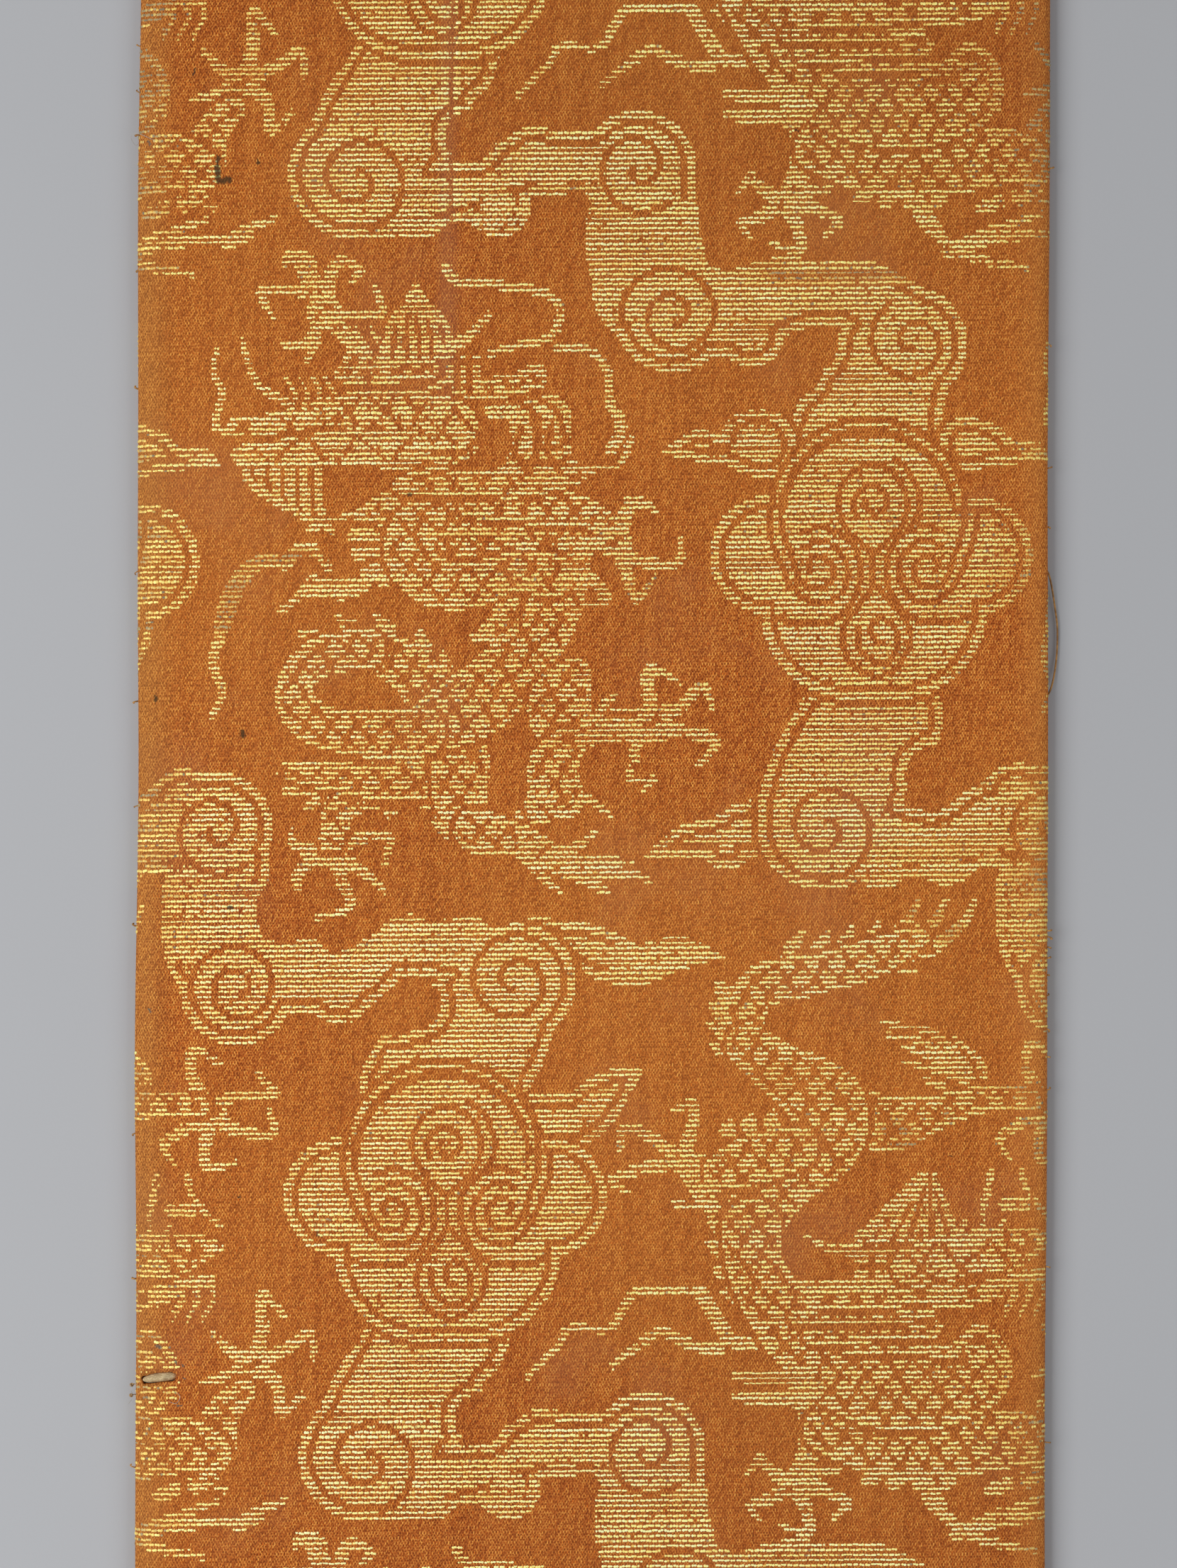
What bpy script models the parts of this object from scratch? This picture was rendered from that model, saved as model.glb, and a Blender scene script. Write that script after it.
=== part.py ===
"""Brocade panel: a figured silk cloth turned over the edges of a thin pasted-paper board.

The panel lies face up. X runs across its width, Y along its length and Z up, in metres. The origin is
under the middle of the panel, on the surface that it lies on.
"""
import math

import bmesh
import bpy

# Driving sizes
WIDTH = 0.127
LENGTH = 0.364
CLOTH = 0.0010
BOARD = 0.0010
GAP = 0.0003

# Worked out from them: the cloth lies over and under the board, with a gap on both sides of it
THICKNESS = 2 * CLOTH + 2 * GAP + BOARD
MIDDLE = THICKNESS / 2

# How the turned edges are rounded: a long soft shoulder above and a tighter one below
SHOULDER_ABOVE = 0.0042
SHOULDER_BELOW = 0.0018
TURN_IN = 0.0150
CORNER_RADIUS = 0.0020
SMALLEST_RADIUS = 0.0004

# Points along the outline and round the turned edge
LONG_SIDE_STEPS = 40
SHORT_SIDE_STEPS = 12
CORNER_STEPS = 4
ROUNDING_STEPS = 5

# The hand-turned long sides wander by a fraction of a millimetre: height, waves along the length, phase
LEFT_WANDER = ((0.00013, 3.5, 0.9), (0.00008, 6.0, 2.1))
RIGHT_WANDER = ((0.00008, 2.5, 2.6), (0.00005, 5.5, 0.4))

# A worn slit near the left side, where the board shows
SLIT_LENGTH = 0.0050
SLIT_WIDTH = 0.0014
SLIT_CENTRE = (-0.0600, -0.0828)
SLIT_TURN = math.radians(8)
SLIT_END_STEPS = 6


def wander(waves, y):
    """Sum of sines along the length, the sideways stray of a hand-turned edge."""
    return sum(
        height * math.sin(2 * math.pi * count * y / LENGTH + phase)
        for height, count, phase in waves
    )


def outline(inset):
    """Points of the panel's outline moved inwards by inset, anticlockwise from the right side's lower end."""
    radius = max(CORNER_RADIUS - inset, SMALLEST_RADIUS)
    reach_x = WIDTH / 2 - inset - radius
    reach_y = LENGTH / 2 - inset - radius
    corners = ((1, -1, -90), (1, 1, 0), (-1, 1, 90), (-1, -1, 180))
    sides = (LONG_SIDE_STEPS, SHORT_SIDE_STEPS, LONG_SIDE_STEPS, SHORT_SIDE_STEPS)
    arcs = []
    for sign_x, sign_y, start in corners:
        turns = [math.radians(start + 90 * step / CORNER_STEPS) for step in range(CORNER_STEPS + 1)]
        arcs.append(
            [
                (sign_x * reach_x + radius * math.cos(turn), sign_y * reach_y + radius * math.sin(turn))
                for turn in turns
            ]
        )
    points = []
    for number, arc in enumerate(arcs):
        points += arc
        x0, y0 = arc[-1]
        x1, y1 = arcs[(number + 1) % 4][0]
        for step in range(1, sides[number]):
            share = step / sides[number]
            points.append((x0 + (x1 - x0) * share, y0 + (y1 - y0) * share))
    return [(x + wander(RIGHT_WANDER if x > 0 else LEFT_WANDER, y), y) for x, y in points]


def turned_edge(depth):
    """(inset, height) pairs from the top face round the edge to the underside, depth below the cloth's face."""
    half = MIDDLE - depth
    pairs = []
    for step in range(2 * ROUNDING_STEPS + 1):
        turn = math.radians(90 - 90 * step / ROUNDING_STEPS)
        shoulder = SHOULDER_ABOVE if turn > 0 else SHOULDER_BELOW
        reach = max(shoulder - depth, half)
        pairs.append((depth + reach * (1 - math.cos(turn)), MIDDLE + half * math.sin(turn)))
    return pairs


def add_ring(mesh, inset, height):
    """One ring of vertices along the outline at this inset and height."""
    return [mesh.verts.new((x, y, height)) for x, y in outline(inset)]


def skin(mesh, rings):
    """Joins each ring to the next with quads, and closes the first and the last with a cap."""
    for first, second in zip(rings, rings[1:]):
        for number in range(len(first)):
            after = (number + 1) % len(first)
            mesh.faces.new((first[number], first[after], second[after], second[number]))
    mesh.faces.new(rings[0])
    mesh.faces.new(reversed(rings[-1]))
    bmesh.ops.recalc_face_normals(mesh, faces=mesh.faces)


def material(name, colour, roughness):
    """A Principled material of one colour."""
    made = bpy.data.materials.new(name)
    made.use_nodes = True
    shader = made.node_tree.nodes["Principled BSDF"]
    shader.inputs["Base Color"].default_value = (*colour, 1)
    shader.inputs["Roughness"].default_value = roughness
    shader.inputs["Metallic"].default_value = 0.0
    return made


def new_object(name, mesh, finish):
    """Puts a bmesh into the scene as a named object with its material."""
    data = bpy.data.meshes.new(name)
    mesh.to_mesh(data)
    mesh.free()
    data.shade_smooth()
    data.set_sharp_from_angle(angle=math.radians(40))
    data.materials.append(finish)
    made = bpy.data.objects.new(name, data)
    bpy.context.scene.collection.objects.link(made)
    return made


def make_cloth():
    """The brocade: over the face, round all four edges, and turned in on the underside."""
    mesh = bmesh.new()
    outer = [add_ring(mesh, inset, height) for inset, height in turned_edge(0)]
    hem_edge = [add_ring(mesh, TURN_IN, 0), add_ring(mesh, TURN_IN, CLOTH)]
    inner = [add_ring(mesh, inset, height) for inset, height in reversed(turned_edge(CLOTH))]
    skin(mesh, outer + hem_edge + inner)
    finish = material("orange_silk_and_gilt", (0.66, 0.30, 0.07), 0.6)
    return new_object("brocade_cloth", mesh, finish)


def make_board():
    """The pasted-paper board that the cloth is turned over, rounded to lie inside it with a gap all round."""
    mesh = bmesh.new()
    skin(mesh, [add_ring(mesh, inset, height) for inset, height in turned_edge(CLOTH + GAP)])
    return new_object("paper_board", mesh, material("pasted_paper", (0.58, 0.50, 0.37), 0.9))


def make_slit_cutter():
    """A flat bar with round ends, standing in the cloth's upper layer where it is worn through."""
    mesh = bmesh.new()
    radius = SLIT_WIDTH / 2
    reach = SLIT_LENGTH / 2 - radius
    ring = []
    for side in (1, -1):
        for step in range(SLIT_END_STEPS + 1):
            turn = math.radians(-90 + 180 * step / SLIT_END_STEPS)
            ring.append((side * (reach + radius * math.cos(turn)), side * radius * math.sin(turn)))
    low = MIDDLE + BOARD / 2 + GAP / 2
    high = THICKNESS + CLOTH
    rings = [[mesh.verts.new((x, y, z)) for x, y in ring] for z in (low, high)]
    skin(mesh, rings)
    cutter = new_object("slit_cutter", mesh, material("cutter", (0.5, 0.5, 0.5), 0.5))
    cutter.location = (*SLIT_CENTRE, 0)
    cutter.rotation_euler = (0, 0, SLIT_TURN)
    cutter.hide_render = True
    cutter.display_type = "WIRE"
    return cutter


def cut(piece, cutter):
    """Takes the cutter's shape out of the piece."""
    boolean = piece.modifiers.new("worn_slit", "BOOLEAN")
    boolean.operation = "DIFFERENCE"
    boolean.solver = "EXACT"
    boolean.object = cutter


for old in list(bpy.data.objects):
    bpy.data.objects.remove(old)

cloth = make_cloth()
board = make_board()
cut(cloth, make_slit_cutter())
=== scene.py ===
"""Looks of the brocade panel: orange silk twill figured with gilt-paper wefts, turned over a
pasted-paper board.

Sizes are worked out in millimetres, and each mesh is written in metres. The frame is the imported
part's: X runs across the panel, Y along it to its top, and Z up out of its figured face.
"""

import math

import bpy
import numpy as np
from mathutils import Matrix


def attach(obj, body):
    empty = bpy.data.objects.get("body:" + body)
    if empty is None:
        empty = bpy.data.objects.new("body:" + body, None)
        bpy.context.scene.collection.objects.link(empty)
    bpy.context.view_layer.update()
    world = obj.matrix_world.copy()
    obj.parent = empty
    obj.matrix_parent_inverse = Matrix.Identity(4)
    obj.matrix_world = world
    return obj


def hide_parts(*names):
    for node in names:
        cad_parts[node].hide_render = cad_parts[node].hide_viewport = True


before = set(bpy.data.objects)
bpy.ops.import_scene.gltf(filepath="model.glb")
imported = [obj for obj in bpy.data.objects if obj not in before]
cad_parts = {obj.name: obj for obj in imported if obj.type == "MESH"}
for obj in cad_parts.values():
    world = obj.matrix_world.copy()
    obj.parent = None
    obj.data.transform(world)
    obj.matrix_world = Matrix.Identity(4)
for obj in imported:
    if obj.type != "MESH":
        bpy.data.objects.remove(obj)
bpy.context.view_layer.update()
MM = 0.001


# The view. The camera hangs straight above the panel's middle and takes in 218 mm of its length, so that
# both ends run out of the picture. The panel lies a fifth of a degree off square in it.
def placed(name, data):
    """A new object of this data in the scene."""
    made = bpy.data.objects.new(name, data)
    bpy.context.scene.collection.objects.link(made)
    return made


photo_height, mm_per_pixel = 2212, 0.09853
view_length = photo_height * mm_per_pixel
view_offset, view_turn = -0.54, 0.18
face_height = 3.6
camera_data = bpy.data.cameras.new("camera")
camera_data.lens = 85
camera_data.sensor_width = 36
camera_distance = view_length * camera_data.lens / camera_data.sensor_width
camera = placed("camera", camera_data)
camera.location = (view_offset * MM, 0, (face_height + camera_distance) * MM)
camera.rotation_euler = (0, 0, math.radians(view_turn))
bpy.context.scene.camera = camera
bpy.context.scene.view_settings.view_transform = "Standard"


# The floor and the light. A plain pale matt table, a large soft lamp on each side of the panel, the left
# one a little the stronger, and an even pale surround.
class Wire:
    """One output of a shader node. + - * / on wires and numbers add Math nodes, and add() makes any
    other node."""

    def __init__(self, tree, socket=None):
        self.tree = tree
        self.socket = socket

    def add(self, kind, settings=None, output=0, **sockets):
        """A node of this kind: its settings first, then its sockets, each a value or a wire."""
        node = self.tree.nodes.new(kind)
        for name, value in (settings or {}).items():
            if name == "stops":
                for _ in range(len(value) - 2):
                    node.color_ramp.elements.new(0.5)
                for element, (place, colour) in zip(node.color_ramp.elements, value):
                    element.position = place
                    element.color = (*colour, 1)
            else:
                setattr(node, name, value)
        for name, value in sockets.items():
            key = int(name[1:]) if name[0] == "_" else name.replace("_", " ")
            socket = node.inputs[key]
            if isinstance(value, Wire):
                self.tree.links.new(value.socket, socket)
            else:
                socket.default_value = value
        return Wire(self.tree, node.outputs[output])

    def math(self, operation, *others):
        """A Math node of this operation on this wire and the others."""
        values = {f"_{number}": value for number, value in enumerate((self, *others))}
        return self.add("ShaderNodeMath", {"operation": operation}, **values)

    def __add__(self, other):
        return self.math("ADD", other)

    def __mul__(self, other):
        return self.math("MULTIPLY", other)

    def __sub__(self, other):
        return self.math("SUBTRACT", other)

    def __rsub__(self, other):
        return self * -1 + other

    def __truediv__(self, other):
        return self.math("DIVIDE", other)

    __radd__ = __add__
    __rmul__ = __mul__

    def step(self, low, high):
        """A smooth step from 0 at low to 1 at high."""
        return self.add(
            "ShaderNodeMapRange",
            {"interpolation_type": "SMOOTHSTEP"},
            Value=self,
            From_Min=low,
            From_Max=high,
        )

    def mixed(self, first, second):
        """A colour between first, where this wire is 0, and second, where it is 1."""
        return self.add("ShaderNodeMix", {"data_type": "RGBA"}, output=2, Factor=self, _6=first, _7=second)

    def part(self, name):
        """The X, Y or Z part of a vector wire."""
        return self.add("ShaderNodeSeparateXYZ", output="XYZ".index(name), Vector=self)

    def noise(self, scale, detail, **others):
        """Smooth noise at this place, from 0 to 1."""
        return self.add("ShaderNodeTexNoise", Vector=self, Scale=scale, Detail=detail, **others)

    def stretched(self, scale, turn=0.0):
        """This place scaled by a number along each axis, and turned about Z."""
        return self.add("ShaderNodeMapping", Vector=self, Scale=scale, Rotation=(0, 0, turn))


def new_finish(name, roughness, **constants):
    """A new Principled material with these constants, as (material, shader node, wire of the object's
    place)."""
    made = bpy.data.materials.new(name)
    made.use_nodes = True
    shader = made.node_tree.nodes["Principled BSDF"]
    shader.inputs["Roughness"].default_value = roughness
    for key, value in constants.items():
        shader.inputs[key.replace("_", " ")].default_value = value
    return made, shader, Wire(made.node_tree).add("ShaderNodeTexCoord", output="Object")


def feed(shader, name, wire):
    """Links a wire to one of the shader's inputs."""
    wire.tree.links.new(wire.socket, shader.inputs[name])


floor_finish, floor_shader, floor_place = new_finish("pale_table", 0.85)
cloudy = floor_place.noise(9.0, 3.0)
grain = floor_place.noise(2600.0, 2.0)
table_grey = (cloudy * 0.7 + grain * 0.3).mixed((0.405, 0.41, 0.425, 1), (0.445, 0.45, 0.465, 1))
feed(floor_shader, "Base Color", table_grey)
floor_mesh = bpy.data.meshes.new("table_top")
half = 1.5
floor_corners = [(-half, -half, 0), (half, -half, 0), (half, half, 0), (-half, half, 0)]
floor_mesh.from_pydata(floor_corners, [], [(0, 1, 2, 3)])
floor_mesh.materials.append(floor_finish)
floor = placed("table_top", floor_mesh)


def soft_lamp(name, power, size, place, lean):
    """A square soft lamp of this size in metres at a place, leaning by an angle about Y towards the
    panel."""
    data = bpy.data.lights.new(name, "AREA")
    data.shape = "RECTANGLE"
    data.size, data.size_y = size
    data.energy = power
    made = placed(name, data)
    made.location = place
    made.rotation_euler = (0, math.radians(lean), 0)


soft_lamp("left_lamp", 4.5, (0.5, 0.6), (-0.50, -0.10, 0.55), -42)
soft_lamp("right_lamp", 1.6, (0.5, 0.6), (0.55, -0.10, 0.60), 42)
world = bpy.data.worlds.new("pale_room")
world.use_nodes = True
room_light = world.node_tree.nodes["Background"]
room_light.inputs["Color"].default_value = (0.95, 0.97, 1.0, 1)
room_light.inputs["Strength"].default_value = 0.30
bpy.context.scene.world = world


# The paper board. The real one is sheets of bast-fibre paper pasted together into a stiff beige card; the
# part's own solid is shown, with pale and dark fibres in its surface.
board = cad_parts["paper_board"]
board_finish, board_shader, board_place = new_finish("pasted_paper", 0.92)
along = board_place.stretched((900, 5200, 900))
across = board_place.stretched((4600, 1100, 900), 0.6)
fibres = along.noise(1.0, 4.0, Distortion=0.8)
others = across.noise(1.0, 3.0, Distortion=0.8)
mottle = board_place.noise(70.0, 4.0)
pale = (fibres * 0.5 + others * 0.5).step(0.38, 0.64)
stained = mottle.step(0.45, 0.75)
paper = pale.mixed((0.30, 0.22, 0.125, 1), (0.56, 0.47, 0.32, 1))
feed(board_shader, "Base Color", (stained * 0.5).mixed(paper, (0.36, 0.27, 0.16, 1)))
bump = board_place.add("ShaderNodeBump", Height=fibres + others, Strength=0.5, Distance=0.0002)
feed(board_shader, "Normal", bump)
board.data.materials.clear()
board.data.materials.append(board_finish)


# The brocade cloth. One length of figured silk is drawn over the board, rolled softly round its edges and
# turned in by 15 mm on the underside, where paste holds it. Its orange ground is a slanting twill of fine
# warp ends.
width, length = 127.0, 364.0
middle = face_height / 2
shoulder_above, shoulder_below = 4.2, 1.8
turn_in = 15.0
corner_radius, smallest_radius = 2.0, 0.4
cloth_thickness = 0.9
across_flat, along_flat = width / 2 - shoulder_above, length / 2 - shoulder_above

# The edge's profile by distance out from the shoulder line: a long quarter ellipse above, a quarter
# circle below, and straight on under the panel.
turns = np.radians(np.linspace(90, 0, 60))
above = np.stack([shoulder_above * (1 - np.cos(turns)), middle + middle * np.sin(turns)])
below = np.stack([shoulder_below * (1 - np.cos(turns)), middle - middle * np.sin(turns)])[:, ::-1][:, 1:]
profile = np.concatenate([above, below, [[turn_in], [0.0]]], axis=1)
profile_steps = np.diff(profile, axis=1)
profile_reach = np.concatenate([[0.0], np.cumsum(np.hypot(*profile_steps))])
out_above = np.stack([np.cos(turns) / shoulder_above, np.sin(turns) / middle])
out_below = np.stack([np.cos(turns) / shoulder_below, -np.sin(turns) / middle])[:, ::-1][:, 1:]
profile_out = np.concatenate([out_above, out_below, [[0.0], [-1.0]]], axis=1)
profile_out = profile_out / np.hypot(*profile_out)
hem_edge = profile_reach[-1]
flat_width, flat_length = 2 * (across_flat + hem_edge), 2 * (along_flat + hem_edge)


def drift(x, y, pitch, seed):
    """Smooth noise from -1 to 1: seeded random heights on a square grid of this pitch, eased from each
    to the next."""
    table = np.random.default_rng(seed).uniform(-1, 1, (61, 67))
    column, row = np.floor(x / pitch).astype(int), np.floor(y / pitch).astype(int)
    fx, fy = x / pitch - column, y / pitch - row
    fx, fy = fx * fx * (3 - 2 * fx), fy * fy * (3 - 2 * fy)
    left, right = column % 61, (column + 1) % 61
    lower, upper = row % 67, (row + 1) % 67
    low = table[left, lower] * (1 - fx) + table[right, lower] * fx
    high = table[left, upper] * (1 - fx) + table[right, upper] * fx
    return low * (1 - fy) + high * fy


def stray(y, waves):
    """Sideways stray of a hand-turned side: a sum of sines along the length, each (height, waves,
    phase)."""
    return sum(height * np.sin(2 * np.pi * count * y / length + phase) for height, count, phase in waves)


left_stray = ((0.13, 3.5, 0.9), (0.08, 6.0, 2.1))
right_stray = ((0.08, 2.5, 2.6), (0.05, 5.5, 0.4))

# Faint creases in the face: the place of each end, depth and half-width
creases = (
    (-19.6, 112, -19.9, 70, 0.10, 0.5),
    (60.0, 70, 60.3, 56, 0.08, 0.4),
    (19.8, -95, 19.6, -106, 0.07, 0.4),
    (51.5, 64, 60.5, 56.5, 0.08, 0.35),
    (-15.6, 86, -15.9, 74, 0.05, 0.4),
)


def relief(x, y):
    """How far the face rises or sinks: slow waves in the paste under it, less each crease's soft trough."""
    height = 0.05 * drift(x, y, 23, 1) + 0.025 * drift(x, y, 9, 2)
    for x0, y0, x1, y1, depth, reach in creases:
        run = math.hypot(x1 - x0, y1 - y0)
        along = ((x - x0) * (x1 - x0) + (y - y0) * (y1 - y0)) / run
        aside = ((x - x0) * (y1 - y0) - (y - y0) * (x1 - x0)) / run + 0.25 * drift(x, y, 6, 3)
        held = np.clip(along / 3, 0, 1) * np.clip((run - along) / 3, 0, 1)
        height = height - depth * held * np.exp(-((aside / reach) ** 2))
    return height


def drawn_in(place, flat_reach, laid_reach):
    """A place along a side that reaches flat_reach on the flat cloth and laid_reach where it lies. It
    stays where it is over the middle three quarters of the side, and past that it is drawn in
    evenly, into the corner's fold."""
    held = 0.75 * laid_reach
    past = np.maximum(np.abs(place) - held, 0) * (laid_reach - held) / (flat_reach - held)
    return np.sign(place) * (np.minimum(np.abs(place), held) + past)


def lay(u, v, lift=0.0):
    """Where a point (u, v) of the flat cloth comes to lie, raised by lift out of the cloth.

    Inside the shoulder line it keeps its place on the face. Past it, its distance out runs along the edge's
    profile, and its place along that side is drawn in near the corners only.
    """
    over_u, over_v = np.abs(u) - across_flat, np.abs(v) - along_flat
    out = np.maximum(np.maximum(over_u, over_v), 0)
    inset = np.interp(out, profile_reach, profile[0])
    height = np.interp(out, profile_reach, profile[1])
    out_side = np.interp(out, profile_reach, profile_out[0])
    out_up = np.interp(out, profile_reach, profile_out[1])
    steep = np.hypot(out_side, out_up)
    on_face = np.clip(1 - out / shoulder_above, 0, 1)
    lift = lift + on_face * relief(u, v)
    inset = inset - lift * out_side / steep
    x = drawn_in(u, across_flat + out, width / 2 - inset)
    y = drawn_in(v, along_flat + out, length / 2 - inset)
    z = height + lift * out_up / steep
    radius = np.clip(corner_radius - inset, smallest_radius, corner_radius)
    past_x = np.clip((np.abs(x) - (width / 2 - inset - radius)) / radius, 0, 1)
    past_y = np.clip((np.abs(y) - (length / 2 - inset - radius)) / radius, 0, 1)
    x = x - np.sign(x) * radius * past_x * (1 - np.sqrt(1 - past_y**2 / 2))
    y = y - np.sign(y) * radius * past_y * (1 - np.sqrt(1 - past_x**2 / 2))
    sideways = np.where(x > 0, stray(y, right_stray), stray(y, left_stray)) * np.clip(np.abs(x) / 40, 0, 1)
    return np.stack([x + sideways, y, z], axis=-1)


def new_piece(name, points, faces, finish, weave=None, **values):
    """A smooth mesh object from an array of points in millimetres and an array of faces.

    weave gives each point's place on the flat cloth as its UV, and values are named attributes of
    the points.
    """
    mesh = bpy.data.meshes.new(name)
    mesh.vertices.add(len(points))
    mesh.vertices.foreach_set("co", (points * MM).astype(np.float32).ravel())
    mesh.loops.add(faces.size)
    mesh.loops.foreach_set("vertex_index", faces.astype(np.int32).ravel())
    mesh.polygons.add(len(faces))
    mesh.polygons.foreach_set("loop_start", np.arange(0, faces.size, faces.shape[1], dtype=np.int32))
    mesh.update(calc_edges=True)
    mesh.shade_smooth()
    if weave is not None:
        layer = mesh.uv_layers.new(name="weave")
        layer.data.foreach_set("uv", weave[faces.ravel()].astype(np.float32).ravel())
    for key, numbers in values.items():
        mesh.attributes.new(key, "FLOAT", "POINT").data.foreach_set("value", numbers.astype(np.float32))
    mesh.materials.append(finish)
    return placed(name, mesh)


def grid_faces(rows, columns, first=0):
    """Quads of a grid of rows by columns points that are numbered row by row, facing up when both run
    upwards."""
    corner = first + np.arange(rows - 1)[:, None] * columns + np.arange(columns - 1)
    return np.stack([corner, corner + 1, corner + columns + 1, corner + columns], axis=-1).reshape(-1, 4)


def edge_stops(half_flat, pitch):
    """Grid lines over the flat cloth in one direction: close together round the turned edge, and even
    elsewhere."""
    inner = np.linspace(-half_flat, half_flat, int(2 * half_flat / pitch) + 1)
    outer = half_flat + np.concatenate([np.linspace(0, 8.0, 15)[1:], np.linspace(8.0, hem_edge, 6)[1:]])
    return np.concatenate([-outer[::-1], inner, outer])


across_lines, along_lines = edge_stops(across_flat, 0.9), edge_stops(along_flat, 2.0)
flat_u, flat_v = (part.ravel() for part in np.meshgrid(across_lines, along_lines))
ground_faces = grid_faces(len(along_lines), len(across_lines))

ground_finish, ground_shader, ground_place = new_finish("orange_silk_twill", 0.7, Specular_IOR_Level=0.15)
weave_place = ground_place.add("ShaderNodeUVMap", {"uv_map": "weave"})
across, along = weave_place.part("X"), weave_place.part("Y")
weave_turn = math.radians(0.60)
float_lean = 0.112
warp_pitch, gilt_pitch = 0.4169, 0.7045
# On the chart the rows run level; the cloth carries them turned by weave_turn. The warp floats lean by 1
# in 9.
chart_x = across * math.cos(weave_turn) + along * math.sin(weave_turn)
chart_y = along * math.cos(weave_turn) - across * math.sin(weave_turn)
leaning = chart_x - chart_y * float_lean
jog = ground_place.noise(1400.0, 1.0) - 0.5


def float_mask(shift):
    """One oval warp float in each cell of two ends by one weft row, each of its own brightness. A
    shift of a half gives the ends between."""
    column = leaning / warp_pitch + shift
    row = chart_y / gilt_pitch + shift + jog * 0.35
    beside = (column.math("FRACT") - 0.5) / 0.27
    before = (row.math("FRACT") - 0.5) / 0.47
    number = ground_place.add("ShaderNodeCombineXYZ", X=column.math("FLOOR"), Y=row.math("FLOOR"))
    own = ground_place.add("ShaderNodeTexWhiteNoise", {"noise_dimensions": "2D"}, Vector=number)
    return (beside * beside + before * before).step(1.15, 0.25) * (own * 0.75 + 0.27)


def soiled(wire, colour, hold):
    """The colour with the panel's stains over it, each a dark or grey mark along a short line: hold is
    how much of a stain this surface takes."""
    place = wire.add("ShaderNodeUVMap", {"uv_map": "weave"})
    shift = place.noise(2.2, 3.0, output=1)
    x = place.part("X") + (shift.part("X") - 0.5) * 0.9
    y = place.part("Y") + (shift.part("Y") - 0.5) * 0.9
    for tint, strength, marks in stains:
        mask = None
        for x0, y0, x1, y1, reach in marks:
            run = (x1 - x0) ** 2 + (y1 - y0) ** 2 + 1e-6
            abreast = ((x - x0) * (x1 - x0) + (y - y0) * (y1 - y0)) / run
            share = abreast.math("MAXIMUM", 0.0).math("MINIMUM", 1.0)
            off_x, off_y = x - x0 - share * (x1 - x0), y - y0 - share * (y1 - y0)
            near = (off_x * off_x + off_y * off_y).math("SQRT").step(reach * 1.5, reach * 0.5)
            mask = near if mask is None else mask.math("MAXIMUM", near)
        colour = (mask * (strength * hold)).mixed(colour, tint)
    return colour


# Stains: a colour, how strong it is, and its marks, each from one place to another with a half-width
stains = (
    (
        (0.042, 0.026, 0.009, 1), 0.95,
        (
            (-52.2, 87.0, -52.3, 85.6, 0.28), (-52.3, 85.6, -52.1, 83.9, 0.38),
            (-52.0, 83.6, -50.6, 83.8, 0.42), (-46.7, 86.6, -46.6, 86.2, 0.16),
            (-60.9, 11.4, -60.8, 11.9, 0.28), (-48.7, 6.5, -48.8, 7.2, 0.3),
            (-50.5, -17.3, -50.1, -17.3, 0.26),
        ),
    ),
    (
        (0.020, 0.016, 0.012, 1), 0.85,
        (
            (44.0, 54.5, 44.2, 54.3, 0.18), (28.0, 91.0, 28.2, 90.9, 0.22),
            (-25.5, 40.1, -25.5, 40.3, 0.2), (49.8, -51.5, 50.0, -51.5, 0.14),
            (65.0, -17.2, 65.4, -17.2, 0.2), (-49.0, -57.6, -48.8, -57.5, 0.16),
            (41.9, 37.2, 42.1, 37.2, 0.14), (-38.1, -62.8, -38.0, -62.5, 0.18),
            (-55.8, 98.4, -55.6, 99.2, 0.12),
        ),
    ),
    (
        (0.085, 0.095, 0.080, 1), 0.85,
        (
            (-57.7, -80.4, -57.6, -80.9, 0.12), (-56.9, -80.8, -56.8, -81.0, 0.12),
            (-57.8, -84.8, -57.7, -84.9, 0.12), (-57.4, -86.6, -56.8, -86.4, 0.12),
            (-56.7, -82.8, -56.4, -82.9, 0.09), (-60.4, -78.3, -60.0, -78.4, 0.3),
            (-61.3, -31.5, -61.2, -31.9, 0.16), (-62.0, 89.2, -61.8, 88.8, 0.2),
        ),
    ),
)
strokes = float_mask(0.0).math("MAXIMUM", float_mask(0.5) * 0.75)
slub_place = ground_place.stretched((4300, 2700, 1))
speckle = slub_place.noise(1.0, 2.0).step(0.41, 0.60)
stripe_place = ground_place.stretched((700, 14, 1))
stripes = stripe_place.noise(1.0, 3.0).step(0.3, 0.7)
blotches = ground_place.noise(42.0, 4.0, Roughness=0.6).step(0.52, 0.74)
wide = ground_place.noise(14.0, 2.0).step(0.35, 0.65)
# The dark colour between the warp floats is painted shade in the hollows of the twill; the floats themselves
# take the silk's colour.
shaded_hollow = (speckle * 0.8 + stripes * 0.2).mixed((0.12, 0.016, 0.001, 1), (0.46, 0.084, 0.008, 1))
silk = (speckle * 0.8 + stripes * 0.2).mixed((0.70, 0.148, 0.010, 1), (1.00, 0.48, 0.094, 1))
colour = strokes.mixed(shaded_hollow, silk)
colour = (blotches * 0.35).mixed(colour, (0.40, 0.14, 0.055, 1))
colour = (wide * 0.18).mixed(colour, (0.62, 0.23, 0.035, 1))
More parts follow.
